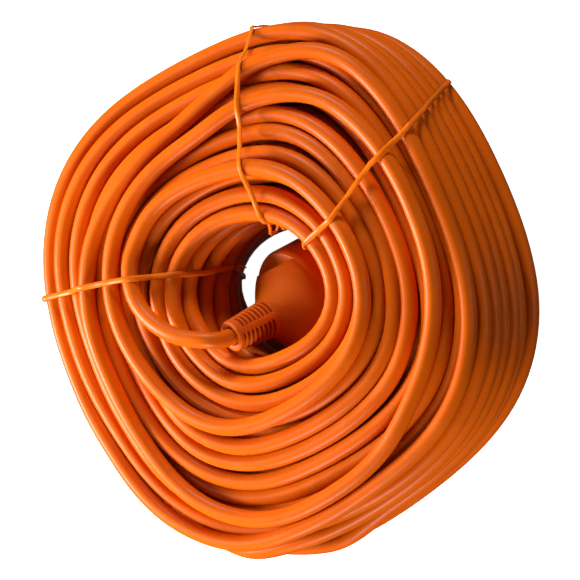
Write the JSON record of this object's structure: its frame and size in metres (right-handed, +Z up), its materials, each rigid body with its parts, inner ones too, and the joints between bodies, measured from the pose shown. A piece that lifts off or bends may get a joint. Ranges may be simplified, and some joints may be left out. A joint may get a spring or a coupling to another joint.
{
  "type": "extension cord",
  "caption": "Long round extension cord wound in a thick oval coil, held by wire ties, with a round earthed coupler in the hole and an earthed plug behind.",
  "frame": {"origin": "middle of the part's base, on the surface that the coil lies on", "axes": "+Z up through the coil's hole, +Y toward the plug's side, +X toward the single tie"},
  "size_m": [0.246, 0.2568, 0.0915],
  "materials": {
    "sheath": "satin extruded PVC",
    "moulding": "satin moulded PVC",
    "tie": "satin plastic over a wire",
    "carrier": "fine matt",
    "shutter": "smooth",
    "brass": "stamped and rolled",
    "nickel": "nickel plated",
    "spring": "drawn wire",
    "core_brown": "smooth PVC",
    "core_blue": "smooth PVC",
    "core_green_yellow": "smooth PVC"
  },
  "bodies": {
    "root": {"cable_coil": "sheath", "coupler_lead": "sheath", "plug_lead": "sheath", "coupler_body": "moulding", "coupler_boot": "moulding", "coupler_insert": "carrier", "coupler_insert_cover": "carrier", "coupler_shutter_spring": "spring", "coupler_contact_live": "brass", "coupler_contact_neutral": "brass", "coupler_earth_clip": "nickel", "coupler_core_live": "core_brown", "coupler_core_neutral": "core_blue", "coupler_core_earth": "core_green_yellow", "plug_body": "moulding", "plug_boot": "moulding", "plug_bridge": "carrier", "plug_pin_live": "nickel", "plug_pin_neutral": "nickel", "plug_earth_strap": "nickel", "plug_earth_sleeve": "brass", "plug_core_live": "core_brown", "plug_core_neutral": "core_blue", "plug_core_earth": "core_green_yellow", "tie_top": "tie", "tie_right": "tie", "tie_left": "tie"},
    "shutter": {"coupler_shutter": "shutter"}
  },
  "joints": [
    {"name": "shutter_turn", "type": "hinge", "parent": "root", "child": "shutter", "pos_m": [-0.00119, -0.01245, 0.02968], "axis": [-0.3678, 0.3268, 0.8706], "range_deg": [0, 35], "stiffness_Nm_per_rad": 0.005}
  ]
}
